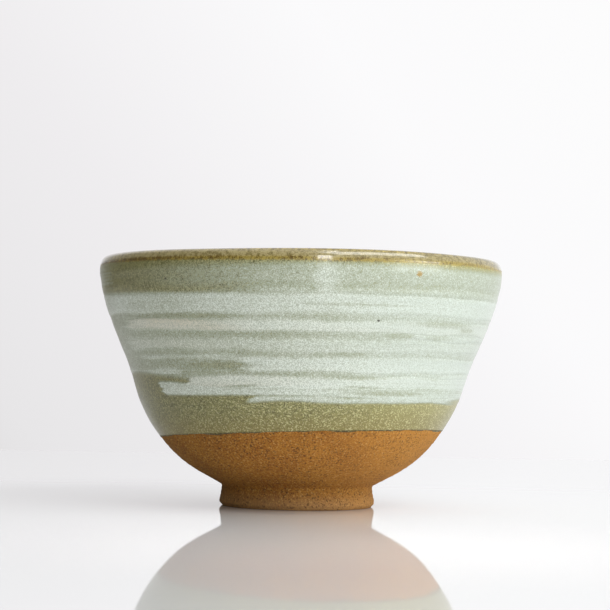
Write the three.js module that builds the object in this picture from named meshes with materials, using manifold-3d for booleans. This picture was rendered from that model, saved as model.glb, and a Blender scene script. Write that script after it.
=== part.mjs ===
// A hand-thrown matcha bowl: a stoneware wall on a turned foot ring, a green ash glaze poured
// inside, dipped outside and thinned to iron brown on the lip, and white slip brushed round
// the outside while the bowl turned on the wheel.
//
// Millimetres and degrees, +Z up. The origin is the centre of the foot, on the table.
// Azimuth 0 is the front, -Y, and azimuth 90 is the right side, +X.
import * as THREE from "three";
import { mergeVertices } from "three/addons/utils/BufferGeometryUtils.js";
import Module from "manifold-3d";

const wasm = await Module();
wasm.setup();

// Overall size, measured over the glaze.
const BOWL_RADIUS = 60; // widest, at the brim
const BOWL_HEIGHT = 73.3; // table to the top of the lip

// Stoneware wall.
const LIP_HEIGHT = 3.3; // rounded part of the lip, above the brim
const WAIST_RADIUS = 50.5; // where the full belly turns into the straighter wall, over the glaze
const WAIST_HEIGHT = 40.5;
const WAIST_SLOPE = 75; // of the wall above the level
const BELLY_SLOPE = 30; // where the belly leaves the foot
const LIP_THICKNESS = 3.2;
const WAIST_THICKNESS = 4.6;
const FLOOR_THICKNESS = 5.6;
const POOL_RADIUS = 17; // the shallow hollow where the last of the tea gathers
const POOL_DEPTH = 0.8;

// How far each end of a wall curve keeps its own direction, as a share of that curve's chord.
const BELLY_PULL = { low: 0.21, high: 0.62 };
const WALL_PULL = { low: 0.12, high: 0.33 };
const INSIDE_PULL = { low: 0.5, high: 0.52 };

// Foot ring.
const FOOT_HEIGHT = 6.2;
const NECK_RADIUS = 22.2; // where the ring meets the belly
const FOOT_FLARE = 0.9; // how far the ring stands out past the neck
const FOOT_BEVEL = 1; // cut in at the table edge
const BEVEL_HEIGHT = 1.1;
const FOOT_WIDTH = 6; // of the ring at its neck
const FOOT_DRAFT = 0.8; // how far the ring opens towards the table on its inside
const FOOT_EDGE = 0.5; // small bevel on the inside

// Glaze.
const GLAZE_THICKNESS = 0.5;
const GLAZE_EDGE = 0.15; // where it has run thin above the bare clay
const DIP_HEIGHT = 21.2; // of the glaze line, on the bowl's axis
const DIP_TILT = 3.3; // the bowl is held a little askew as it is dipped
const DIP_HIGH_SIDE = 38; // azimuth where the line is highest
const RUN_HEIGHT = 10; // how far above the line the glaze reaches its full thickness

// White slip. Each stroke starts at an azimuth and sweeps round to the right; low and high are
// shares of the way from the glaze line to the brim.
const SLIP_THICKNESS = 0.2;
const FUSED_GAP = 0.02; // keeps the faces of two fused coats apart
const STROKES = [
  { name: "wash_collar", low: 0.861, high: 0.985, start: -58, sweep: 345 },
  { name: "wash_shoulder", low: 0.708, high: 0.816, start: -92, sweep: 300 },
  { name: "shoulder_patch", low: 0.819, high: 0.857, start: -16, sweep: 176 },
  { name: "cream_stroke", low: 0.61, high: 0.671, start: -62, sweep: 245 },
  { name: "middle_patch", low: 0.569, high: 0.606, start: 31, sweep: 95 },
  { name: "middle_stroke", low: 0.498, high: 0.564, start: -66, sweep: 285 },
  { name: "thin_stroke", low: 0.445, high: 0.464, start: -60, sweep: 41 },
  { name: "broad_stroke", low: 0.381, high: 0.464, start: -18, sweep: 215 },
  { name: "bristle_line", low: 0.365, high: 0.389, start: -104, sweep: 63 },
  { name: "low_patch", low: 0.348, high: 0.377, start: 53, sweep: 80 },
  { name: "bright_stroke", low: 0.3, high: 0.344, start: -40, sweep: 250 },
  { name: "square_stroke", low: 0.246, high: 0.296, start: -52, sweep: 225 },
  { name: "lowest_stroke", low: 0.213, high: 0.242, start: -17, sweep: 160 },
];

const SEGMENTS = 48; // round the axis
const WALL_STEPS = 7; // along each wall curve
const LIP_STEPS = 6;
const POOL_STEPS = 3;
const AXIS_CLEAR = 1e-6; // a point nearer the axis than this lies on it

const BRIM_HEIGHT = BOWL_HEIGHT - LIP_HEIGHT;
const FLOOR_HEIGHT = FOOT_HEIGHT + FLOOR_THICKNESS;

const STONEWARE = new THREE.MeshStandardMaterial({ color: 0x94602a, roughness: 0.9, metalness: 0 });
const ASH_GLAZE = new THREE.MeshStandardMaterial({ color: 0x8a8a63, roughness: 0.3, metalness: 0 });
const LIP_GLAZE = new THREE.MeshStandardMaterial({ color: 0x7a6628, roughness: 0.25, metalness: 0 });
const WHITE_SLIP = new THREE.MeshStandardMaterial({ color: 0xc9d3c8, roughness: 0.35, metalness: 0 });

const point = (radius, height) => new THREE.Vector2(radius, height);
const heading = (slope) => point(1, 0).rotateAround(point(0, 0), THREE.MathUtils.degToRad(slope));

// ---- Shaping helpers -------------------------------------------------------------------------

// A curve from one point to another that leaves and arrives along the given slopes.
function wallCurve(from, fromSlope, to, toSlope, pull) {
  const chord = from.distanceTo(to);
  const leave = from.clone().addScaledVector(heading(fromSlope), chord * pull.low);
  const arrive = to.clone().addScaledVector(heading(toSlope), -chord * pull.high);
  return new THREE.CubicBezierCurve(from, leave, arrive, to).getPoints(WALL_STEPS);
}

// Each point of an outline moved square to it, to its right, by its own distance.
function movedOut(outline, distance) {
  return outline.map((here, i) => {
    if (here.x < AXIS_CLEAR) return point(0, here.y + distance(here));
    const before = outline[Math.max(i - 1, 0)];
    const after = outline[Math.min(i + 1, outline.length - 1)];
    const along = after.clone().sub(before).normalize();
    return here.clone().add(point(along.y, -along.x).multiplyScalar(distance(here)));
  });
}

// The stretch of a rising outline between two heights, with a point on it at each of them.
function between(outline, low, high) {
  const at = (height) => {
    const above = outline.findIndex((p) => p.y >= height);
    const [a, b] = [outline[above - 1], outline[above]];
    return a.clone().lerp(b, (height - a.y) / (b.y - a.y));
  };
  return [at(low), ...outline.filter((p) => p.y > low && p.y < high), at(high)];
}

// A solid of revolution about +Z, whose outline closes on itself or ends on the axis.
function thrown(outline) {
  const onAxis = outline[0].x < AXIS_CLEAR && outline[outline.length - 1].x < AXIS_CLEAR;
  const closed = onAxis ? outline : [...outline, outline[0]];
  return new THREE.LatheGeometry(closed, SEGMENTS).rotateX(Math.PI / 2);
}

// The ring of a coat: its inner face along one outline and its outer face along another.
const coatRing = (inner, outer) => thrown([...outer, ...inner.toReversed()]);

function solidOf(geometry) {
  const bare = geometry.clone().deleteAttribute("normal").deleteAttribute("uv");
  const merged = mergeVertices(bare);
  return new wasm.Manifold(
    new wasm.Mesh({
      numProp: 3,
      vertProperties: merged.attributes.position.array,
      triVerts: new Uint32Array(merged.index.array),
    }),
  );
}

function geometryOf(solid) {
  const mesh = solid.getMesh();
  const geometry = new THREE.BufferGeometry();
  geometry.setAttribute("position", new THREE.BufferAttribute(mesh.vertProperties, mesh.numProp));
  geometry.setIndex(new THREE.BufferAttribute(mesh.triVerts, 1));
  geometry.computeVertexNormals();
  return geometry;
}

// ---- Outlines, as radius and height ----------------------------------------------------------

const neck = point(NECK_RADIUS, FOOT_HEIGHT);
const waist = point(WAIST_RADIUS - GLAZE_THICKNESS, WAIST_HEIGHT);
const brim = point(BOWL_RADIUS - GLAZE_THICKNESS, BRIM_HEIGHT);
const insideBrim = point(brim.x - LIP_THICKNESS, BRIM_HEIGHT);
const insideWaist = point(waist.x - WAIST_THICKNESS, WAIST_HEIGHT);
const poolEdge = point(POOL_RADIUS, FLOOR_HEIGHT);

const outsideWall = [
  ...wallCurve(neck, BELLY_SLOPE, waist, WAIST_SLOPE, BELLY_PULL),
  ...wallCurve(waist, WAIST_SLOPE, brim, 90, WALL_PULL).slice(1),
];
const lip = new THREE.EllipseCurve(
  (brim.x + insideBrim.x) / 2,
  BRIM_HEIGHT,
  LIP_THICKNESS / 2,
  LIP_HEIGHT - GLAZE_THICKNESS,
  0,
  Math.PI,
).getPoints(LIP_STEPS);
const insideWall = [
  ...wallCurve(poolEdge, 5, insideWaist, WAIST_SLOPE, INSIDE_PULL),
  ...wallCurve(insideWaist, WAIST_SLOPE, insideBrim, 90, WALL_PULL).slice(1),
].reverse();
const pool = new THREE.CubicBezierCurve(
  poolEdge,
  point(POOL_RADIUS * 0.85, FLOOR_HEIGHT - POOL_DEPTH),
  point(POOL_RADIUS * 0.6, FLOOR_HEIGHT - POOL_DEPTH),
  point(0, FLOOR_HEIGHT - POOL_DEPTH),
).getPoints(POOL_STEPS);

// The clay's skin from the neck, up the outside, over the lip and down to the middle of the floor.
const skin = [...outsideWall, ...lip.slice(1, -1), ...insideWall, ...pool.slice(1)];
const brimAt = outsideWall.length - 1;
const insideBrimAt = brimAt + LIP_STEPS;

const glazeStart = DIP_HEIGHT - BOWL_RADIUS * Math.tan(THREE.MathUtils.degToRad(DIP_TILT));
const coatThickness = (here, outside) => {
  const run = outside ? THREE.MathUtils.smoothstep(here.y, DIP_HEIGHT, DIP_HEIGHT + RUN_HEIGHT) : 1;
  return THREE.MathUtils.lerp(GLAZE_EDGE, GLAZE_THICKNESS, run);
};
const finished = movedOut(skin, (here) => coatThickness(here, skin.indexOf(here) <= brimAt));

// ---- Pieces ----------------------------------------------------------------------------------

// The thrown wall and floor, in one piece of clay; its flat underside is what the foot ring meets.
function bowlBody() {
  return thrown([point(0, FOOT_HEIGHT), ...skin]);
}

// The ring the bowl stands on, flared towards the table and bevelled where it meets it.
function footRing() {
  const flare = NECK_RADIUS + FOOT_FLARE;
  const inside = NECK_RADIUS - FOOT_WIDTH;
  const mouth = inside + FOOT_DRAFT;
  return thrown([
    point(mouth + FOOT_EDGE, 0),
    point(flare - FOOT_BEVEL, 0),
    point(flare, BEVEL_HEIGHT),
    neck,
    point(inside, FOOT_HEIGHT),
    point(mouth, FOOT_EDGE),
  ]);
}

// The dipped coat, cut off along the tilted surface of the glaze bucket.
function outerGlaze() {
  const first = skin.findIndex((p) => p.y > glazeStart) - 1;
  const ring = coatRing(skin.slice(first, brimAt + 1), finished.slice(first, brimAt + 1));
  const block = 4 * BOWL_RADIUS;
  const below = new THREE.BoxGeometry(block, block, block)
    .translate(0, 0, -block / 2)
    .rotateX(THREE.MathUtils.degToRad(-DIP_TILT))
    .rotateZ(THREE.MathUtils.degToRad(DIP_HIGH_SIDE))
    .translate(0, 0, DIP_HEIGHT);
  return geometryOf(solidOf(ring).subtract(solidOf(below)));
}

// The band over the lip, where the two coats run thin and the iron in the clay shows.
function lipGlaze() {
  return coatRing(skin.slice(brimAt, insideBrimAt + 1), finished.slice(brimAt, insideBrimAt + 1));
}

// The coat poured inside, from the lip to the middle of the floor.
function innerGlaze() {
  return thrown([...skin.slice(insideBrimAt).toReversed(), ...finished.slice(insideBrimAt)]);
}

// One brush stroke: a thin band on the outer glaze, from its start as far round as it sweeps.
function slipStroke({ low, high, start, sweep }) {
  const heightAt = (share) => THREE.MathUtils.lerp(DIP_HEIGHT, BRIM_HEIGHT, share);
  const seat = between(finished.slice(0, brimAt + 1), heightAt(low), heightAt(high));
  const band = coatRing(
    movedOut(seat, () => FUSED_GAP),
    movedOut(seat, () => FUSED_GAP + SLIP_THICKNESS),
  );
  const reach = 2 * BOWL_RADIUS;
  const from = THREE.MathUtils.degToRad(start - 90);
  const to = THREE.MathUtils.degToRad(start + sweep - 90);
  const sector = new THREE.Shape().absarc(0, 0, reach, from, to).lineTo(0, 0);
  const wedge = new THREE.ExtrudeGeometry(sector, {
    depth: BOWL_HEIGHT,
    bevelEnabled: false,
    curveSegments: SEGMENTS / 2,
  });
  return geometryOf(solidOf(band).intersect(solidOf(wedge)));
}

const bowl = new THREE.Group();

function add(name, geometry, material) {
  const mesh = new THREE.Mesh(geometry, material);
  mesh.name = name;
  bowl.add(mesh);
}

add("bowl_body", bowlBody(), STONEWARE);
add("foot_ring", footRing(), STONEWARE);
add("outer_glaze", outerGlaze(), ASH_GLAZE);
add("inner_glaze", innerGlaze(), ASH_GLAZE);
add("lip_glaze", lipGlaze(), LIP_GLAZE);
for (const stroke of STROKES) {
  add(`slip_${stroke.name}`, slipStroke(stroke), WHITE_SLIP);
}

export default bowl;
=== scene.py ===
import math

import bmesh
import bpy
import numpy as np
from mathutils import Euler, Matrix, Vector


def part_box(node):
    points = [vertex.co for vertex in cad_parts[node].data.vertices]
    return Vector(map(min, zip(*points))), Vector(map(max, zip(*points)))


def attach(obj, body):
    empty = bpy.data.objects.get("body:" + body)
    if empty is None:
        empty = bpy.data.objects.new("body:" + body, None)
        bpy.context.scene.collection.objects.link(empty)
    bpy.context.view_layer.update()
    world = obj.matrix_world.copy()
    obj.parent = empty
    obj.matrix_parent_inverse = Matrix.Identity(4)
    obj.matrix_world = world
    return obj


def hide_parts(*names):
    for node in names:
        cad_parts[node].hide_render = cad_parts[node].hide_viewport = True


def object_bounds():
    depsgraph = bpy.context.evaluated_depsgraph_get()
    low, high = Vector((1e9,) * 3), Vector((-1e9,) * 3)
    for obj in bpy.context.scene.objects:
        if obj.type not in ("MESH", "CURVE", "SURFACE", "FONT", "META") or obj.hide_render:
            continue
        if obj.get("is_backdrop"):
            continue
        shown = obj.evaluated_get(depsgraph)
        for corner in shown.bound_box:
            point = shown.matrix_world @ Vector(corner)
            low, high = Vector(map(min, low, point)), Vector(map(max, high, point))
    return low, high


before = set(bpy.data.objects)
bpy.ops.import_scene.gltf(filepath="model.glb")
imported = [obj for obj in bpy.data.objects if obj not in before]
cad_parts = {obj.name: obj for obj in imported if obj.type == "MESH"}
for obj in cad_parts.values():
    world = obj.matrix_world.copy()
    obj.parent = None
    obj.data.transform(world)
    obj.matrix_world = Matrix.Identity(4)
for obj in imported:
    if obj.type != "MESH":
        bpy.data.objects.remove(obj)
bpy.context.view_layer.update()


# The camera: a short telephoto that stands just above the table, below the level of the lip,
# and looks very slightly up at the bowl. It is held about a degree out of level.
CAMERA_PLACE = (0.0, -0.6, 0.039)
CAMERA_PITCH = math.radians(2.0)
CAMERA_YAW = math.radians(-0.14)
CAMERA_ROLL = math.radians(1.0)
CAMERA_LENS = 118.3  # millimetres, on a sensor 36 millimetres wide

lens = bpy.data.cameras.new("camera")
lens.sensor_width = 36
lens.lens = CAMERA_LENS
camera = bpy.data.objects.new("camera", lens)
camera.location = CAMERA_PLACE
camera.rotation_euler = (
    Euler((0, 0, CAMERA_YAW)).to_matrix()
    @ Euler((math.pi / 2 + CAMERA_PITCH, 0, 0)).to_matrix()
    @ Euler((0, 0, CAMERA_ROLL)).to_matrix()
).to_euler()
bpy.context.scene.collection.objects.link(camera)
bpy.context.scene.camera = camera
bpy.context.scene.view_settings.view_transform = "Standard"


# Every finish is a node tree. A Wire is a socket in one of them, and arithmetic on it adds
# Math nodes, so the formulas below read as formulas.
class Wire:
    """A socket of a node tree that adds a Math node for each sum or product made with it."""

    def __init__(self, tree, socket=None):
        self.tree = tree
        self.socket = socket

    def node(self, kind, settings=None, sockets=None, out=0):
        """A new node's output: its settings first, then the values or wires of its sockets."""
        made = self.tree.nodes.new(kind)
        for name, value in (settings or {}).items():
            if name == "stops":
                self.set_stops(made.color_ramp, value)
            else:
                setattr(made, name, value)
        for name, value in (sockets or {}).items():
            if isinstance(value, Wire):
                self.tree.links.new(value.socket, made.inputs[name])
            else:
                made.inputs[name].default_value = value
        return Wire(self.tree, made.outputs[out])

    def set_stops(self, ramp, stops):
        """Give a colour ramp these stops, each a position and a colour."""
        while len(ramp.elements) < len(stops):
            ramp.elements.new(0.5)
        for element, (place, colour) in zip(ramp.elements, stops, strict=True):
            element.position = place
            element.color = colour

    def math(self, operation, *values):
        return self.node("ShaderNodeMath", {"operation": operation}, dict(enumerate(values)))

    def __add__(self, other):
        return self.math("ADD", self, other)

    def __sub__(self, other):
        return self.math("SUBTRACT", self, other)

    def __rsub__(self, other):
        return self.math("SUBTRACT", other, self)

    def __mul__(self, other):
        return self.math("MULTIPLY", self, other)

    __radd__ = __add__
    __rmul__ = __mul__

    def step(self, low, high):
        """0 below low and 1 above high, with a smooth rise between."""
        return self.node(
            "ShaderNodeMapRange",
            {"interpolation_type": "SMOOTHSTEP"},
            {"Value": self, "From Min": low, "From Max": high},
        )

    def mix(self, off, on):
        """The colour off where this wire is 0, and on where it is 1."""
        return self.node(
            "ShaderNodeMix",
            {"data_type": "RGBA", "clamp_factor": True},
            {0: self, 6: off, 7: on},
            out=2,
        )

    def clamp(self):
        """This wire, kept from 0 to 1."""
        return self.node("ShaderNodeClamp", {}, {"Value": self})

    def vector(self, operation, other, out=0):
        """Vector Math on this wire and another wire or vector."""
        return self.node("ShaderNodeVectorMath", {"operation": operation}, {0: self, 1: other}, out)

    def axis(self, name):
        """One coordinate of this vector: X, Y or Z."""
        return self.node("ShaderNodeSeparateXYZ", {}, {0: self}, name)


def paint(colour):
    """A screen colour such as "9a7b4f", as the light that a shader works in."""
    screen = np.array([int(colour[i : i + 2], 16) / 255 for i in (0, 2, 4)])
    light = np.where(screen > 0.04045, ((screen + 0.055) / 1.055) ** 2.4, screen / 12.92)
    return (*light, 1.0)


# The room: a pale world, brightest to the right and above. A tall window far in front, a wide
# skylight and a low white card on the right light the bowl, and a small warm spot the table.
ROOM_LIGHT = Vector((0.72, 0.36, 0.6)).normalized()

world = bpy.data.worlds.new("room")
world.use_nodes = True
bpy.context.scene.world = world
sky = Wire(world.node_tree)
towards = sky.node("ShaderNodeTexCoord", out="Generated")
facing = towards.vector("DOT_PRODUCT", ROOM_LIGHT, "Value")
glow = facing.node(
    "ShaderNodeValToRGB",
    {
        "stops": [
            (0.0, (0.05, 0.048, 0.04, 1)),
            (0.32, (0.15, 0.145, 0.125, 1)),
            (0.5, (0.38, 0.37, 0.34, 1)),
            (0.62, (0.8, 0.79, 0.8, 1)),
            (0.67, (0.86, 0.845, 0.86, 1)),
            (0.73, (0.965, 0.96, 0.97, 1)),
            (0.8, (0.98, 0.98, 0.98, 1)),
            (0.9, (0.7, 0.71, 0.72, 1)),
        ]
    },
    {"Fac": facing * 0.5 + 0.5},
)
background = next(n for n in world.node_tree.nodes if n.type == "BACKGROUND")
world.node_tree.links.new(glow.socket, background.inputs["Color"])


def softbox(name, place, target, width, height, watts, tint=(1, 1, 1), spread=180):
    """A rectangular light that faces its target; spread is the angle of its beam in degrees."""
    light = bpy.data.lights.new(name, "AREA")
    light.shape = "RECTANGLE"
    light.size = width
    light.size_y = height
    light.energy = watts
    light.color = tint
    light.spread = math.radians(spread)
    made = bpy.data.objects.new(name, light)
    made.location = place
    made.rotation_euler = (Vector(target) - Vector(place)).to_track_quat("-Z", "Y").to_euler()
    bpy.context.scene.collection.objects.link(made)


softbox("window", (0.34, -1.5, 0.38), (0, 0, 0.05), 0.2, 0.6, 3)
softbox("skylight", (0.7, -0.55, 1.02), (0, 0, 0.07), 1.3, 0.55, 9, (0.97, 1, 1))
softbox("table_spot", (0.12, -0.27, 0.6), (0.02, -0.13, 0), 0.1, 0.1, 0.016, (1, 0.94, 0.82), 16)
softbox("low_card", (1.25, -0.55, 0.16), (0, 0, 0.03), 0.8, 0.24, 4, (0.97, 1, 1))


# The table: a thick white sheet with a polished face that mirrors the bowl. Its far edge is
# two hands behind the bowl.
TABLE_BACK = 0.38
TABLE_FRONT = -1.3
TABLE_SIDE = 1.2
TABLE_THICK = 0.018

bench = bmesh.new()
corners = [
    (-TABLE_SIDE, TABLE_FRONT, 0),
    (TABLE_SIDE, TABLE_FRONT, 0),
    (TABLE_SIDE, TABLE_BACK, 0),
    (-TABLE_SIDE, TABLE_BACK, 0),
]
top = bench.faces.new([bench.verts.new(c) for c in corners])
drawn = bmesh.ops.extrude_face_region(bench, geom=[top])["geom"]
lower = [part for part in drawn if isinstance(part, bmesh.types.BMVert)]
bmesh.ops.translate(bench, verts=lower, vec=(0, 0, -TABLE_THICK))
bmesh.ops.recalc_face_normals(bench, faces=bench.faces)
table_mesh = bpy.data.meshes.new("table")
bench.to_mesh(table_mesh)
bench.free()
table = bpy.data.objects.new("table", table_mesh)
bpy.context.scene.collection.objects.link(table)
table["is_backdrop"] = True

polish = bpy.data.materials.new("table")
polish.use_nodes = True
gloss = polish.node_tree.nodes["Principled BSDF"]
gloss.inputs["Base Color"].default_value = paint("e9e9ea")
gloss.inputs["Roughness"].default_value = 0.03
gloss.inputs["IOR"].default_value = 1.33
table_mesh.materials.append(polish)


# The wall and floor are one piece of coarse, iron-bearing stoneware, thrown on the wheel and
# then turned: fine tool lines run round it, and grog and burnt-out iron speck its bare face.
MM = 0.001
ROUND = 640  # points round the bowl
UNDER_STEP = 0.5 * MM  # between points under the bowl, up its bare outside, and under the glaze
BARE_STEP = 0.44 * MM
HIDDEN_STEP = 3.2 * MM
TOOL_MARK = 0.03 * MM
GRIT = 0.024 * MM
TURNING_PITCH = 2.6 * MM  # of the spiral that the tool leaves inside the foot
TURNING_DEPTH = 0.22 * MM
RING_COVERS = 6.5 * MM  # how far in from the neck the foot ring hides the underside
TUCK = 0.6 * MM  # how far in from the neck the wall and ring meet, out of sight
THROWING_PITCH = 5.5 * MM

CLAY_OCHRE = paint("b67e36")
CLAY_RUST = paint("8c5724")
# Painted light and shade: the clay painted lighter on the right, where the light falls, and darker
# in the shade on the left and round the neck.
CLAY_PAINTED_LIGHT = paint("c98f45")
CLAY_PAINTED_SHADE = paint("6f5420")
CLAY_IRON = paint("332a22")
CLAY_GROG = paint("d5a965")
# Painted light: the clay paler on the foot ring, standing in for light that the underlit foot
# lacks.
CLAY_PAINTED_FOOT_LIGHT = paint("ad8a60")


def cad_outline(name):
    """The corners round a CAD solid of revolution, as radius and height, in order."""
    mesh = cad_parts[name].data
    place = {}
    for vertex in mesh.vertices:
        if abs(vertex.co.y) < 1e-6 and vertex.co.x > -1e-6:
            place[vertex.index] = (round(vertex.co.x, 6), round(vertex.co.z, 6))
    beside = {corner: set() for corner in place.values()}
    for edge in mesh.edges:
        a, b = (place.get(i) for i in edge.vertices)
        if a and b and a != b:
            beside[a].add(b)
            beside[b].add(a)
    ends = sorted(corner for corner in beside if len(beside[corner]) == 1)
    here = ends[0] if ends else min(beside, key=lambda corner: (corner[1], corner[0]))
    walked = [here]
    while True:
        onward = sorted(beside[here] - set(walked), key=lambda corner: -corner[0])
        if not onward:
            return np.array(walked)
        here = onward[0]
        walked.append(here)


class Skin:
    """The clay's surface as a smooth line, and which way is out of the clay along it."""

    def __init__(self, corners):
        knots = np.append(0, np.hypot(*np.diff(corners, axis=0).T).cumsum())
        slopes = np.gradient(corners, knots, axis=0, edge_order=2)
        self.length = knots[-1]
        self.along = np.linspace(0, self.length, int(self.length / (0.1 * MM)))
        i = np.clip(np.searchsorted(knots, self.along, "right") - 1, 0, len(knots) - 2)
        chord = (knots[i + 1] - knots[i])[:, None]
        t = (self.along - knots[i])[:, None] / chord
        self.line = (
            (1 + 2 * t) * (1 - t) ** 2 * corners[i]
            + t * (1 - t) ** 2 * chord * slopes[i]
            + t**2 * (3 - 2 * t) * corners[i + 1]
            + t**2 * (t - 1) * chord * slopes[i + 1]
        )
        heading = np.gradient(self.line, axis=0)
        heading /= np.hypot(*heading.T)[:, None]
        self.out = np.column_stack([heading[:, 1], -heading[:, 0]])

    def point(self, along, lift=0):
        """Radius and height at that distance along, that far off the clay."""
        radius, height, out_radius, out_height = (
            np.interp(along, self.along, values) for values in (*self.line.T, *self.out.T)
        )
        return radius + lift * out_radius, height + lift * out_height


def rise(value, low, high):
    """0 below low and 1 above high, with a smooth rise between."""
    t = np.clip((value - low) / (high - low), 0, 1)
    return t * t * (3 - 2 * t)


def ripple(seed, shortest, longest, azimuth, along=0, slant=3, waves=12):
    """Waves of many lengths with random phases, about -1 to 1: shortest and longest are their
    lengths along, and slant the most turns that one winds through in a full round."""
    draw = np.random.default_rng(seed)
    total = 0
    for length in np.geomspace(shortest, longest, waves):
        turns = draw.integers(-slant, slant + 1)
        phase = draw.uniform(0, 2 * math.pi)
        total = total + np.cos(2 * math.pi * along / length + turns * azimuth + phase)
    return total / math.sqrt(waves)


body_outline = cad_outline("bowl_body")
neck_at = int(np.argmax(np.isclose(body_outline[:, 0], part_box("foot_ring")[1].x, atol=1 * MM)))
skin = Skin(body_outline[neck_at:])
neck_radius, neck_height = body_outline[neck_at]
brim_radius = body_outline[:, 0].max()
brim_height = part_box("lip_glaze")[0].z
top_point = int(np.argmax(skin.line[:, 1]))
top_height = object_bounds()[1].z


def up_wall(height):
    """How far along the skin the outside reaches that height."""
    return np.interp(height, skin.line[:top_point, 1], skin.along[:top_point])


brim_at = up_wall(brim_height)
inside_at = np.interp(-brim_height, -skin.line[top_point:, 1], skin.along[top_point:])


def by_hand(azimuth, radius, height):
    """That place on a bowl that is not quite round or level, as a hand leaves it. The amounts
    are in millimetres at the brim, and fade towards the foot."""
    loose = np.clip((height - neck_height) / (brim_height - neck_height), 0, 1.1) ** 1.3
    oval = 0.2 * np.cos(2 * azimuth - 0.9) + 0.08 * np.cos(3 * azimuth + 1.1)
    ring = 0.045 * np.sin(2 * math.pi * height / THROWING_PITCH + azimuth)
    radius = radius + MM * loose * (oval + ring) * radius / brim_radius
    level = 0.16 * np.sin(2 * azimuth + 0.4) + 0.06 * np.sin(5 * azimuth)
    height = height + MM * loose**2 * level * radius / brim_radius
    return np.stack([radius * np.sin(azimuth), -radius * np.cos(azimuth), height], axis=-1)


def shell(name, loops, painted=None, whole_turn=True):
    """A closed piece from loops[column, row]: one loop of points for each azimuth in turn.
    Each painted layer is a number for each point, which the finish reads by name."""
    columns, rows = loops.shape[:2]
    index = np.arange(columns * rows).reshape(columns, rows)
    here = index if whole_turn else index[:-1]
    there = np.roll(index, -1, 0) if whole_turn else index[1:]
    quads = np.stack([here, there, np.roll(there, -1, 1), np.roll(here, -1, 1)], axis=-1)
    faces = quads.reshape(-1, 4).tolist()
    if not whole_turn:
        faces += [index[0].tolist(), index[-1][::-1].tolist()]
    mesh = bpy.data.meshes.new(name)
    mesh.from_pydata(loops.reshape(-1, 3).tolist(), [], faces)
    for layer, values in (painted or {}).items():
        painting = mesh.attributes.new(layer, "FLOAT", "POINT")
        painting.data.foreach_set("value", values.ravel().astype(np.float32))
    work = bmesh.new()
    work.from_mesh(mesh)
    bmesh.ops.remove_doubles(work, verts=work.verts, dist=1e-8)
    bmesh.ops.recalc_face_normals(work, faces=work.faces)
    work.to_mesh(mesh)
    work.free()
    mesh.shade_smooth()
    made = bpy.data.objects.new(name, mesh)
    bpy.context.scene.collection.objects.link(made)
    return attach(made, "root")


def finish_of(name):
    """A new material, its shader, and a wire of the place on the bowl that it colours."""
    material = bpy.data.materials.new(name)
    material.use_nodes = True
    shader = material.node_tree.nodes["Principled BSDF"]
    wire = Wire(material.node_tree)
    place = wire.node("ShaderNodeTexCoord", out="Object")
    return material, shader, place


def grain(place, size, detail=2.0, stretch=None, offset=0.0):
    """Noise whose blots are about that size, from 0 to 1; each offset gives other blots."""
    if stretch:
        place = place.vector("MULTIPLY", stretch)
    if offset:
        place = place.vector("ADD", (offset, 0, 0))
    sockets = {"Vector": place, "Scale": 0.6 / size, "Detail": detail}
    return place.node("ShaderNodeTexNoise", {}, sockets)


def specks(place, spacing, size):
    """1 in round specks of up to that size, each somewhere in a cell of that spacing."""
    cell = place.node("ShaderNodeTexVoronoi", {}, {"Vector": place, "Scale": 1 / spacing})
    return 1 - cell.step(0.3 * size / spacing, size / spacing)


def connect(wire, shader, socket):
    """Let a wire drive one of the shader's sockets."""
    wire.tree.links.new(wire.socket, shader.inputs[socket])


def roughened(shader, relief, strength, depth):
    """Raise the surface by that relief, where 1 is that depth."""
    heights = {"Height": relief, "Strength": strength, "Distance": depth}
    connect(relief.node("ShaderNodeBump", {}, heights), shader, "Normal")


def painted_side_light(place):
    """Painted shade and light: how far the place lies in the shade on the left, and in the bright
    light on the right.
    """
    side = place.axis("X")
    return 1 - side.step(-50 * MM, -5 * MM), side.step(0, 36 * MM)


def stoneware():
    """The bare clay: rusty and ochre blotches, pale grog, dark iron, and pits."""
    material, shader, place = finish_of("stoneware")
    height = place.axis("Z")
    blotch = grain(place, 7 * MM, 3)
    fine = grain(place, 0.3 * MM, 2)
    tooled = grain(place, 1.1 * MM, 3, stretch=(0.3, 0.3, 2.2))
    colour = (blotch * 0.3 + fine * 0.7).step(0.36, 0.62).mix(CLAY_RUST, CLAY_OCHRE)
    # Painted shade: the clay darkened from the neck down and for 10 mm above it, where shade falls
    # in the crease under the belly.
    low = 1 - height.step(neck_height, neck_height + 10 * MM)
    # Painted light: the foot ring paler towards the table.
    painted_foot_light = 1 - height.step(0.5 * MM, neck_height)
    colour = (low * 0.25).mix(colour, CLAY_PAINTED_SHADE)
    colour = (painted_foot_light * 0.6).mix(colour, CLAY_PAINTED_FOOT_LIGHT)
    # Painted shade on the left and painted light on the right.
    painted_left_shade, painted_right_light = painted_side_light(place)
    colour = (painted_left_shade * 0.4).mix(colour, CLAY_PAINTED_SHADE)
    colour = (painted_right_light * 0.6).mix(colour, CLAY_PAINTED_LIGHT)
    grog = grain(place, 0.34 * MM, 1, offset=3).step(0.57, 0.68)
    iron = grain(place, 0.3 * MM, 1, offset=7).step(0.55, 0.66)
    iron = iron * grain(place, 5 * MM).step(0.3, 0.55)
    pits = specks(place, 1.6 * MM, 0.4 * MM)
    colour = (grog * 0.42).mix(colour, CLAY_GROG)
    colour = (iron * 0.62).mix(colour, CLAY_IRON)
    colour = (pits * 0.6).mix(colour, CLAY_IRON)
    connect(colour, shader, "Base Color")
    connect(fine * 0.2 + 0.75, shader, "Roughness")
    shader.inputs["Specular IOR Level"].default_value = 0.2
    relief = fine * 0.5 + tooled * 0.3 - pits * 0.4 + grog * 0.3
    roughened(shader, relief, 0.5, 0.12 * MM)
    return material


stoneware_finish = stoneware()
azimuths = np.linspace(0, 2 * math.pi, ROUND, endpoint=False)[:, None]
grit = np.random.default_rng(3)

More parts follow.
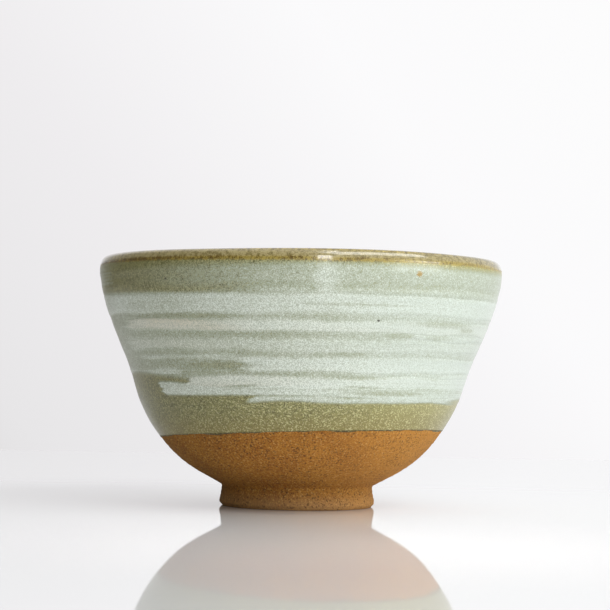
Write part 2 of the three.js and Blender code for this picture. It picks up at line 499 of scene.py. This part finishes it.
# The bare clay ends at the glaze line: the tilted plane that the CAD coat's lower face lies in.
cut_faces = [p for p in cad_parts["outer_glaze"].data.polygons if p.normal.z < -0.97]
cut_normal = sum((p.normal * p.area for p in cut_faces), Vector()).normalized()
cut_place = sum((p.center * p.area for p in cut_faces), Vector()) / sum(p.area for p in cut_faces)
dip_slope = (-cut_normal.x / cut_normal.z, -cut_normal.y / cut_normal.z)
dip_height = cut_place.z + (cut_normal.x * cut_place.x + cut_normal.y * cut_place.y) / cut_normal.z


def dip_line(azimuth):
    """How far along the skin the glaze begins at that azimuth."""
    radius, height = skin.line[:top_point].T
    tilt = dip_slope[0] * np.sin(azimuth) - dip_slope[1] * np.cos(azimuth)
    above = height - dip_height - radius * tilt
    found = [np.interp(0, one_side, skin.along[:top_point]) for one_side in above]
    wander = 0.14 * MM * ripple(5, 1, 1, 7 * azimuth[:, 0], slant=4)
    wander += 0.07 * MM * ripple(6, 1, 1, 31 * azimuth[:, 0], slant=2)
    return (np.array(found) + wander)[:, None]


line_at = dip_line(azimuths)
bare_to = line_at.max() + 1.5 * MM

underside = np.append(np.arange(0, neck_radius - HIDDEN_STEP, UNDER_STEP), neck_radius - TUCK)
bare = np.arange(0, bare_to, BARE_STEP)
hidden = np.linspace(bare_to, skin.length, int((skin.length - bare_to) / HIDDEN_STEP))
spiral = 0.5 + 0.5 * np.cos(2 * math.pi * underside / TURNING_PITCH - azimuths)
turned_out = rise(underside, 0, 1 * MM) * rise(neck_radius - RING_COVERS - underside, 0, 1.5 * MM)
under_height = neck_height + TURNING_DEPTH * spiral**3 * turned_out
lathe_marks = TOOL_MARK * ripple(11, 0.7 * MM, 3.2 * MM, azimuths, bare, slant=1)
gritty = grit.normal(0, GRIT, (ROUND, len(bare)))
fade = rise(bare, 0, 0.8 * MM)
outer_radius, outer_height = skin.point(bare, (lathe_marks + gritty) * fade)
rest_radius, rest_height = skin.point(hidden + 0 * azimuths)
bowl_body = shell(
    "bowl_body",
    np.concatenate(
        [
            by_hand(azimuths, underside + 0 * azimuths, under_height),
            by_hand(azimuths, outer_radius, outer_height),
            by_hand(azimuths, rest_radius, rest_height),
        ],
        axis=1,
    ),
)
bowl_body.data.materials.append(stoneware_finish)
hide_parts("bowl_body")


# The foot ring is the same clay, turned with a sharp tool: it flares to the table, and its
# edges are wiped round with a wet finger before firing.
WIPED_EDGE = 0.35 * MM
FOOT_STEP = 0.35 * MM
FOOT_MARK = 0.05 * MM
FILLET = 1.1 * MM  # where the ring runs into the belly


def wiped(corners, radius, spacing):
    """The closed outline through those corners, with each one rounded and the sides filled."""
    line = []
    before, after = np.roll(corners, 1, 0), np.roll(corners, -1, 0)
    for last, corner, following in zip(before, corners, after, strict=True):
        ends = []
        for other in (last, following):
            side = np.hypot(*(other - corner))
            ends.append(corner + (other - corner) / side * min(radius, side / 3))
        for t in np.linspace(0, 1, 5):
            line.append((1 - t) ** 2 * ends[0] + 2 * t * (1 - t) * corner + t**2 * ends[1])
    line = np.array([*line, line[0]])
    lengths = np.append(0, np.hypot(*np.diff(line, axis=0).T).cumsum())
    at = np.unique(np.concatenate([lengths[:-1], np.arange(0, lengths[-1], spacing)]))
    return np.column_stack([np.interp(at, lengths, values) for values in line.T])


def filleted(corners):
    """The ring's outline, with its top edge drawn up the belly in a hollow curve."""
    neck = np.array([neck_radius, neck_height])
    at = int(np.argmin(np.hypot(*(corners - neck).T)))
    below, inside = corners[at - 1], corners[(at + 1) % len(corners)]
    upward = below[0] > inside[0]
    flank = below if upward else inside
    start = neck + (flank - neck) / np.hypot(*(flank - neck)) * FILLET
    end = np.array(skin.point(FILLET, -0.04 * MM))
    steps = np.linspace(0, 1, 9)
    hollow = [(1 - t) ** 2 * start + 2 * t * (1 - t) * neck + t**2 * end for t in steps]
    tuck = neck - (TUCK, 0)
    turned = [*hollow, tuck] if upward else [tuck, *hollow[::-1]]
    return np.concatenate([corners[:at], turned, corners[at + 1 :]])


foot_radius, foot_height = wiped(filleted(cad_outline("foot_ring")), WIPED_EDGE, FOOT_STEP).T
foot_worn = rise(foot_height, 0.02 * MM, 1 * MM) * rise(neck_height - foot_height, 0, 0.5 * MM)
foot_marks = FOOT_MARK * ripple(21, 1 * MM, 4 * MM, azimuths, foot_height, slant=2)
foot_grit = grit.normal(0, GRIT, (ROUND, len(foot_height)))
foot_rough = (foot_marks + foot_grit) * foot_worn
foot_ring = shell(
    "foot_ring", by_hand(azimuths, foot_radius + foot_rough, foot_height + 0 * azimuths)
)
foot_ring.data.materials.append(stoneware_finish)
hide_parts("foot_ring")


# White slip is brushed round the wall on the turning wheel before it is glazed. Each stroke
# starts where the brush landed, and its bristles leave streaks that thin out as it dries.
#
# How each stroke looks: cover is how much slip it leaves, from 0 to 1; soft the width of its long
# edges and wide how far they lie outside the CAD stroke, in millimetres; start and end the
# degrees over which its ends come and go, late the degrees by which it starts late, and slant
# the degrees by which its top starts after its bottom; dry how deep its streaks are, and cream
# how far its first part is tinted.
BRUSHWORK = {
    "slip_wash_collar": dict(cover=0.4, soft=3, start=70, late=25, end=24, dry=0.1),
    "slip_wash_shoulder": dict(cover=0.68, soft=2.2, start=10, end=40, dry=0.15),
    "slip_shoulder_patch": dict(cover=0.5, soft=2.4, start=24, end=20, dry=0.1),
    "slip_cream_stroke": dict(cover=0.86, soft=1.4, start=9, end=40, dry=0.3, cream=0.85),
    "slip_middle_patch": dict(cover=0.5, soft=1.2, start=6, end=30, dry=0.1),
    "slip_middle_stroke": dict(cover=0.58, soft=1.9, start=12, end=40, dry=0.35, cream=0.25),
    "slip_thin_stroke": dict(cover=0.55, soft=0.8, start=14, end=6, dry=0.3),
    "slip_broad_stroke": dict(cover=0.8, soft=1.6, start=5, end=40, dry=0.15),
    "slip_bristle_line": dict(cover=0.52, soft=0.6, start=14, end=4, dry=0.2, wide=-0.2),
    "slip_low_patch": dict(cover=0.6, soft=1.1, start=5, end=30, dry=0.1),
    "slip_bright_stroke": dict(
        cover=0.96, soft=1.3, start=2, end=50, dry=0.1, slant=2.5, wide=0.2, cream=0.3
    ),
    "slip_square_stroke": dict(
        cover=0.84, soft=0.9, start=2, end=50, dry=0.25, slant=-2, wide=0.35
    ),
    "slip_lowest_stroke": dict(cover=0.84, soft=1.0, start=2, end=40, dry=0.2, slant=3, wide=0.1),
}
# The wet brush also left a veil of slip between the strokes, heavier on the right.
VEIL_LEFT = 0.46
VEIL_RIGHT = 0.76
VEIL_SIDE = 111  # azimuth where it is heaviest
VEIL_FADE = (131, 69)  # degrees from there at which it is lightest, and still heaviest
COLLAR_FRONT = 60  # azimuth in the middle of the part of the collar that the veil reaches
COLLAR_FADE = (110, 60)  # degrees from there at which it is gone, and still whole
COLLAR_VEIL = 0.5
STREAK = 7  # the most, in degrees, that a brush's hairs land ahead of each other
# Where it skipped: azimuth and height of the middle, half its sweep in degrees, half its height,
# and how much of the slip is missing. Below 0, it left a blot of more slip; the entry at 7 degrees
# is instead a painted highlight, the soft reflection of a window on the collar.
SKIPS_AND_HIGHLIGHT = [
    (-45, 58.2 * MM, 15, 2.6 * MM, 0.16),
    (-37, 54.9 * MM, 22, 0.8 * MM, 0.3),
    (-43, 52.8 * MM, 12, 1.0 * MM, -0.25),
    (-25, 41.3 * MM, 14, 1.0 * MM, 0.35),
    (47, 53.6 * MM, 13, 1.0 * MM, 0.25),
    (59, 52.4 * MM, 5, 0.7 * MM, 0.3),
    (46, 49.9 * MM, 6, 0.8 * MM, 0.2),
    (31, 50.1 * MM, 5, 0.8 * MM, 0.3),
    # Painted highlight: a pale blot on the collar that stands in for a window's soft reflection.
    (7, 65 * MM, 3.8, 4.0 * MM, -0.35),
    (15, 44.9 * MM, 7, 0.5 * MM, 0.2),
    (15, 58.3 * MM, 17, 0.4 * MM, 0.25),
    (31, 34.2 * MM, 16, 0.7 * MM, 0.35),
    (83, 31.8 * MM, 19, 1.0 * MM, 0.85),
]
WANDER = 0.3 * MM  # of a stroke's long edges
VEIL_WANDER = 0.8 * MM  # of the veil's lower edge
BRISTLE = (0.45 * MM, 3 * MM)  # the finest and broadest streaks


def reach(node):
    """Where a CAD stroke starts and how far it sweeps, in degrees, and its lowest and highest."""
    x, y, height = np.array([v.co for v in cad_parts[node].data.vertices]).T
    turned = np.unique(np.degrees(np.arctan2(x, -y)).round(3))
    gaps = np.diff(np.append(turned, turned[0] + 360))
    widest = int(np.argmax(gaps))
    return turned[(widest + 1) % len(turned)], 360 - gaps[widest], height.min(), height.max()


def brushed(node, azimuth, height):
    """How much slip one stroke leaves there, from 0 to 1."""
    look = BRUSHWORK[node]
    start, sweep, low, high = reach(node)
    seed = sorted(BRUSHWORK).index(node) * 10
    ahead = min(40, (360 - sweep) / 2)
    across = (np.degrees(azimuth) - start + ahead) % 360 - ahead
    turn = np.radians(across)
    soft = look["soft"] * MM
    wide = look.get("wide", 0) * MM
    bottom = low - wide + WANDER * ripple(seed, 1, 1, 2 * turn, slant=6, waves=5)
    top = high + wide + WANDER * ripple(seed + 1, 1, 1, 2 * turn, slant=6, waves=5)
    bristles = ripple(seed + 2, *BRISTLE, turn, height)
    uneven = 0.3 * ripple(seed + 3, *BRISTLE, 0, height)
    body = rise(height, bottom - soft / 2, bottom + soft / 2)
    body = body * rise(top - height, -soft / 2, soft / 2)
    landed = across - look.get("late", 0) - look.get("slant", 0) * (height - low) / (high - low)
    begins, ends = look["start"] / 2, look["end"] / 2
    began = rise(landed - min(look["start"], STREAK) * uneven, -begins, begins)
    lasted = rise(sweep - across - look["end"] * uneven, -ends, ends)
    drying = 0.6 * across / sweep
    streaked = 1 - look["dry"] * rise(bristles + drying, 0.2, 1.6)
    return look["cover"] * body * began * lasted * streaked


def slip_cover(azimuth, height):
    """How much slip there is in all, veil and strokes together, with one painted highlight on the
    collar.
    """
    degrees = (np.degrees(azimuth) + 180) % 360 - 180
    edge = VEIL_WANDER * ripple(71, 1, 1, azimuth, slant=5, waves=6)
    from_heavy = np.abs((degrees - VEIL_SIDE + 180) % 360 - 180)
    veil = VEIL_LEFT + (VEIL_RIGHT - VEIL_LEFT) * rise(from_heavy, *VEIL_FADE)
    lowest, shoulder = reach("slip_bristle_line")[2], reach("slip_wash_shoulder")[3]
    veil = veil * rise(height + edge, lowest - 2 * MM, lowest)
    veil = veil * rise(brim_height - height, 0, 2 * MM)
    on_collar = COLLAR_VEIL * rise(np.abs(degrees - COLLAR_FRONT), *COLLAR_FADE)
    veil = veil * np.maximum(rise(shoulder - height, -1.2 * MM, 0.6 * MM), on_collar)
    bare_glaze = 1 - veil
    for node in BRUSHWORK:
        bare_glaze = bare_glaze * (1 - brushed(node, azimuth, height))
    cover = 1 - bare_glaze
    # The skips take slip away; the negative entry at 7 degrees adds a painted highlight.
    for middle, level, sweep, depth, missing_or_highlight in SKIPS_AND_HIGHLIGHT:
        off = np.hypot((degrees - middle) / sweep, (height - level) / depth)
        cover = cover * (1 - missing_or_highlight * rise(1.3 - off, 0, 0.8))
    return cover


# The ash glaze outside was dipped: it is olive where thick, broken by pale crystals, runs thin
# and brown on the lip, and stops at the tilted dip line in a fine dark edge.
GLAZE_ROW = 0.42 * MM
GLAZE_BEAD = np.array([0, 0.03, 0.08, 0.16, 0.28, 0.45, 0.7]) * MM  # rows in its rounded edge
BEAD_REACH = 0.45 * MM  # how far up from the line its edge is rounded
THIN_EDGE = 0.15 * MM  # its thickness there
THIN_REACH = 10 * MM  # how far up it is thinner than the rest
BACK_ROWS = 14  # up the face that lies on the clay
OVERLAP = 0.4 * MM  # of one coat over the next, at the brim
SAG = 0.03 * MM  # how unevenly the wet glaze lay
coat_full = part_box("outer_glaze")[1].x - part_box("bowl_body")[1].x

GLAZE_OLIVE = paint("938f58")
GLAZE_DEEP = paint("5f5d36")
GLAZE_CRYSTAL = paint("dbd6a2")
# Painted light: the glaze paler on the right, where the light falls.
GLAZE_PAINTED_LIGHT = paint("b5ae73")
GLAZE_THIN = paint("87783c")
GLAZE_BROWN = paint("5f4a1c")
GLAZE_OCHRE = paint("ab984c")
GLAZE_LIP = paint("ad9f6f")
GLAZE_LIP_DEEP = paint("796c3f")
CELADON = paint("a6ad96")
SLIP_WHITE = paint("e9f0e7")
# Painted light: the slip's white toned down on the brightly lit right side.
SLIP_PAINTED_LIT_SIDE = paint("d8e1d8")
SLIP_SHADE = paint("a3ad9d")
SLIP_CREAM = paint("d6ccb4")
EDGE_DARK = paint("38280f")
# Specks that burnt through: azimuth in degrees, height and radius, and colour.
SPOTS = [
    (22.5, 54.3 * MM, 0.5 * MM, paint("2c2412")),
    (33, 67.2 * MM, 1.3 * MM, paint("a8893f")),
    (-39, 65.2 * MM, 0.6 * MM, paint("37301f")),
    (152, 60 * MM, 0.6 * MM, paint("5a3f1a")),
]
SPOT_FLAT = 1.3  # how much wider than tall a speck is


def sag(azimuth, along):
    """How much thicker the glaze is there than it is on the whole."""
    return SAG * ripple(81, 9 * MM, 30 * MM, azimuth, along, slant=9)


def glaze():
    """The outer glaze: olive with pale crystals, then celadon, then white over more slip."""
    material, shader, place = finish_of("ash_glaze")
    slip = place.node("ShaderNodeAttribute", {"attribute_name": "slip"}, out="Fac")
    cream = place.node("ShaderNodeAttribute", {"attribute_name": "cream"}, out="Fac")
    fine = grain(place, 0.19 * MM, 2)
    coarse = grain(place, 0.7 * MM, 2)
    crystal = grain(place, 0.26 * MM, 3, offset=5).step(0.53, 0.62)
    tilted = (-dip_slope[0], -dip_slope[1], 1)
    over_line = place.vector("DOT_PRODUCT", tilted, "Value") - dip_height

    # Painted shade darkens the olive, crystals and white on the left, and painted light shifts them
    # on the right.
    painted_left_shade, painted_right_light = painted_side_light(place)
    olive = (fine * 0.65 + coarse * 0.35).step(0.38, 0.6).mix(GLAZE_DEEP, GLAZE_OLIVE)
    olive = (painted_left_shade * 0.3).mix(olive, GLAZE_DEEP)
    olive = (painted_right_light * 0.5).mix(olive, GLAZE_PAINTED_LIGHT)
    olive = ((1 - over_line.step(0, 8 * MM)) * 0.6).mix(olive, GLAZE_THIN)
    olive = (crystal * (0.62 - painted_left_shade * 0.36 + painted_right_light * 0.12)).mix(olive, GLAZE_CRYSTAL)
    milky = grain(place, 6 * MM, 2, stretch=(0.3, 0.3, 2)).step(0.4, 0.7)
    white = (cream * (0.55 + milky * 0.45)).mix(painted_right_light.mix(SLIP_WHITE, SLIP_PAINTED_LIT_SIDE), SLIP_CREAM)
    white = ((1 - fine.step(0.38, 0.58)) * (0.62 - painted_right_light * 0.25)).mix(white, SLIP_SHADE)
    broken = (fine * 0.75 + coarse * 0.25 - 0.5) * (0.2 + 6.2 * slip * (1 - slip))
    amount = (slip + broken).clamp()
    colour = (amount * 2).clamp().mix(olive, CELADON)
    colour = (amount * 2 - 1).clamp().mix(colour, white)

    edge = 1 - (over_line + (coarse - 0.5) * 0.4 * MM).step(0.12 * MM, 0.5 * MM)
    colour = (edge * coarse.step(0.3, 0.55) * 0.85).mix(colour, EDGE_DARK)
    colour, lip = over_lip(colour, place, fine, coarse)
    flat = (1, 1, SPOT_FLAT)
    squashed = place.vector("MULTIPLY", flat)
    for azimuth, height, radius, burnt in SPOTS:
        spot = by_hand(np.radians(azimuth), *skin.point(up_wall(height), coat_full)) * flat
        far = squashed.vector("DISTANCE", spot, "Value")
        ragged = far + (fine - 0.5) * 1.2 * radius
        colour = (0.9 - ragged.step(0.4 * radius, radius) * 0.9).mix(colour, burnt)
    connect(colour, shader, "Base Color")
    connect((fine * 0.16 + 0.27) * (1 - lip * 0.6) + edge * 0.3, shader, "Roughness")
    connect((0.2 + lip * 0.8) * (1 - edge), shader, "Coat Weight")
    shader.inputs["Coat Roughness"].default_value = 0.05
    relief = fine * 0.3 + coarse * 0.7
    roughened(shader, relief, 0.22, 0.1 * MM)
    return material


def over_lip(colour, place, fine, coarse):
    """The colour over the lip, where iron breaks brown along each edge of a paler band, and
    how far the place is on the lip."""
    height = place.axis("Z")
    slow = grain(place, 24 * MM, 1)
    wavering = height + (coarse - 0.5) * 0.8 * MM + (slow - 0.5) * 1.2 * MM
    lip = wavering.step(brim_height + 0.2 * MM, brim_height + 1 * MM)
    rim = (fine * 0.5 + coarse * 0.5).step(0.38, 0.6)
    painted_left_shade, painted_right_light = painted_side_light(place)
    # Painted shade darkens the brown on the left, and painted light lightens it on the right.
    brown = (rim - painted_left_shade * 0.4 + painted_right_light * 0.2).clamp().mix(GLAZE_BROWN, GLAZE_OCHRE)
    colour = lip.mix(colour, rim.mix(GLAZE_LIP_DEEP, GLAZE_LIP))
    line = wavering.step(brim_height - 0.1 * MM, brim_height + 0.35 * MM)
    line = line * (1 - wavering.step(brim_height + 0.9 * MM, brim_height + 1.5 * MM))
    crest = (height + (coarse - 0.5) * 0.2 * MM).step(top_height - 0.5 * MM, top_height - 0.3 * MM)
    colour = (line * 0.92).mix(colour, brown)
    colour = (crest * 0.8).mix(colour, brown)
    return colour, lip


glaze_finish = glaze()
glaze_end = brim_at + OVERLAP
bead_end = line_at + GLAZE_BEAD[-1]
up_share = np.linspace(0, 1, int((glaze_end - line_at.min()) / GLAZE_ROW))
above_bead = bead_end + (glaze_end - bead_end) * up_share
outside = np.concatenate([line_at + GLAZE_BEAD[:-1], above_bead], axis=1)
over_line = outside - line_at
run_thin = rise(over_line, 0, THIN_REACH)
bead = rise(over_line, 0, BEAD_REACH)
coat = (THIN_EDGE + (coat_full - THIN_EDGE) * run_thin) * bead + sag(azimuths, outside) * run_thin
back = (line_at + (glaze_end - line_at) * np.linspace(1, 0, BACK_ROWS))[:, 1:-1]
glaze_radius, glaze_height = skin.point(outside, coat)
glaze_front = by_hand(azimuths, glaze_radius, glaze_height)
glaze_back = by_hand(azimuths, *skin.point(back))
slip_outside = slip_cover(azimuths, glaze_height)
outer_glaze = shell(
    "outer_glaze",
    np.concatenate([glaze_front, glaze_back], axis=1),
    {"slip": np.concatenate([slip_outside, 0 * back], axis=1)},
)
outer_glaze.data.materials.append(glaze_finish)
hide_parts("outer_glaze")


# The strokes of slip: each is a thin curved skin of white clay that was brushed on wet. It
# stands up a little from the glaze, and sinks into it at its edges.
SLIP_RELIEF = 0.12 * MM
SLIP_SINK = 0.05 * MM
SLIP_BACK = 0.14 * MM  # how far its back lies under the glaze's face
STROKE_COLUMN = 0.9  # degrees
STROKE_ROW = 0.24 * MM
STROKE_LEAD = 6  # degrees of mesh ahead of where a stroke starts
STROKE_SPARE = 10  # degrees of mesh beyond its sweep
LONGEST = 356  # degrees, so that its ends never meet
CREAM_FADE = (25, 55)  # degrees from a stroke's start over which its tint fades

for node, look in BRUSHWORK.items():
    start, sweep, low, high = reach(node)
    margin = look["soft"] * MM / 2 + 2 * WANDER
    whole = min(sweep + STROKE_SPARE + look["end"] / 2, LONGEST)
    first = start - STROKE_LEAD
    turned = np.radians(np.linspace(first, first + whole, int(whole / STROKE_COLUMN)))[:, None]
    low_at, high_at = up_wall([low - margin, min(high + margin, brim_height)])
    rows = np.linspace(low_at, high_at, int((high_at - low_at) / STROKE_ROW)) + 0 * turned
    lie = coat_full + sag(turned, rows)
    height = skin.point(rows, lie)[1]
    laid = brushed(node, turned, height)
    lift = lie - SLIP_SINK + (SLIP_RELIEF + SLIP_SINK) * rise(laid, 0.02, 0.7)
    front = by_hand(turned, *skin.point(rows, lift))
    rear = by_hand(turned, *skin.point(rows[:, ::-1], lie[:, ::-1] - SLIP_BACK))
    fading = 1 - 0.85 * rise(np.degrees(turned) - start, *CREAM_FADE)
    tinted = look.get("cream", 0) * rise(laid, 0.1, 0.6) * fading
    amount = slip_cover(turned, height)
    stroke = shell(
        node,
        np.concatenate([front, rear], axis=1),
        {
            "slip": np.concatenate([amount, amount[:, ::-1]], axis=1),
            "cream": np.concatenate([tinted, tinted[:, ::-1]], axis=1),
        },
        whole_turn=False,
    )
    stroke.data.materials.append(glaze_finish)
    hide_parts(node)


# The inside was filled with the same glaze and poured out. It lies thicker in the hollow in the
# middle of the floor, and the potter's fingers left a shallow spiral under it.
INNER_ROW = 0.75 * MM
INNER_BACK_ROWS = 30
FINGER_PITCH = 7 * MM
FINGER_DEPTH = 0.16 * MM

INNER_DEEP = paint("5d6140")
INNER_MID = paint("8e9069")
INNER_PALE = paint("b9bd9f")


def inner_finish():
    """The glaze inside: mottled grey-green on the wall, and deeper where it pooled."""
    material, shader, place = finish_of("inner_glaze")
    height = place.axis("Z")
    fine = grain(place, 0.35 * MM, 2)
    coarse = grain(place, 1.1 * MM, 2)
    broad = grain(place, 14 * MM, 3)
    colour = (fine * 0.5 + coarse * 0.5).step(0.38, 0.62).mix(INNER_MID, INNER_PALE)
    pooled = (1 - (height + (broad - 0.5) * 8 * MM).step(12 * MM, 30 * MM)) * 0.7
    colour = pooled.mix(colour, INNER_DEEP)
    colour, lip = over_lip(colour, place, fine, coarse)
    connect(colour, shader, "Base Color")
    connect(fine * 0.14 + 0.2, shader, "Roughness")
    connect(0.4 + lip * 0.6, shader, "Coat Weight")
    shader.inputs["Coat Roughness"].default_value = 0.06
    relief = fine * 0.3 + coarse * 0.7
    roughened(shader, relief, 0.22, 0.1 * MM)
    return material


inner_start = inside_at - OVERLAP
inner_rows = int((skin.length - inner_start) / INNER_ROW)
inner_at = np.linspace(inner_start, skin.length, inner_rows) + 0 * azimuths
inner_back_at = np.linspace(skin.length, inner_start, INNER_BACK_ROWS) + 0 * azimuths
floor_radius, wall_height = skin.point(inner_at)
fingers = np.cos(2 * math.pi * (inner_at - inside_at) / FINGER_PITCH + azimuths)
fingers = fingers * rise(floor_radius, 3 * MM, 20 * MM)
fingers = fingers * rise(brim_height - wall_height, 2 * MM, 12 * MM)
inner_front = by_hand(azimuths, *skin.point(inner_at, coat_full + FINGER_DEPTH * fingers))
inner_back = by_hand(azimuths, *skin.point(inner_back_at))
# Both faces close to a point in the middle of the floor.
inner_front[:, -1] = (0, 0, inner_front[:, -1, 2].mean())
inner_back[:, 0, :2] = 0
inner_glaze = shell("inner_glaze", np.concatenate([inner_front, inner_back], axis=1))
inner_glaze.data.materials.append(inner_finish())
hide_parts("inner_glaze")


# The lip is the rounded, thrown edge of the wall. Over it the glaze ran thin, and the iron in
# the clay turned it brown along both edges of a paler band.
LIP_ROW = 0.25 * MM
LIP_STAND = 0.02 * MM  # how far it stands up from the other coats
LIP_LAP = 1.2 * MM  # how far it reaches over the coats inside and outside

lip_at = np.arange(brim_at - LIP_LAP, inside_at + LIP_LAP, LIP_ROW) + 0 * azimuths
from_end = np.minimum(lip_at - lip_at[:, :1], lip_at[:, -1:] - lip_at)
lip_lie = coat_full + sag(azimuths, lip_at)
lip_lift = lip_lie - SLIP_SINK + (SLIP_SINK + LIP_STAND) * rise(from_end, 0, 1 * MM)
lip_front = by_hand(azimuths, *skin.point(lip_at, lip_lift))
lip_back = by_hand(azimuths, *skin.point(lip_at[:, ::-2], lip_lie[:, ::-2] - SLIP_BACK))
lip_amount = slip_cover(azimuths, lip_front[..., 2])
lip_glaze = shell(
    "lip_glaze",
    np.concatenate([lip_front, lip_back], axis=1),
    {"slip": np.concatenate([lip_amount, lip_amount[:, ::-2]], axis=1)},
)
lip_glaze.data.materials.append(glaze_finish)
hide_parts("lip_glaze")
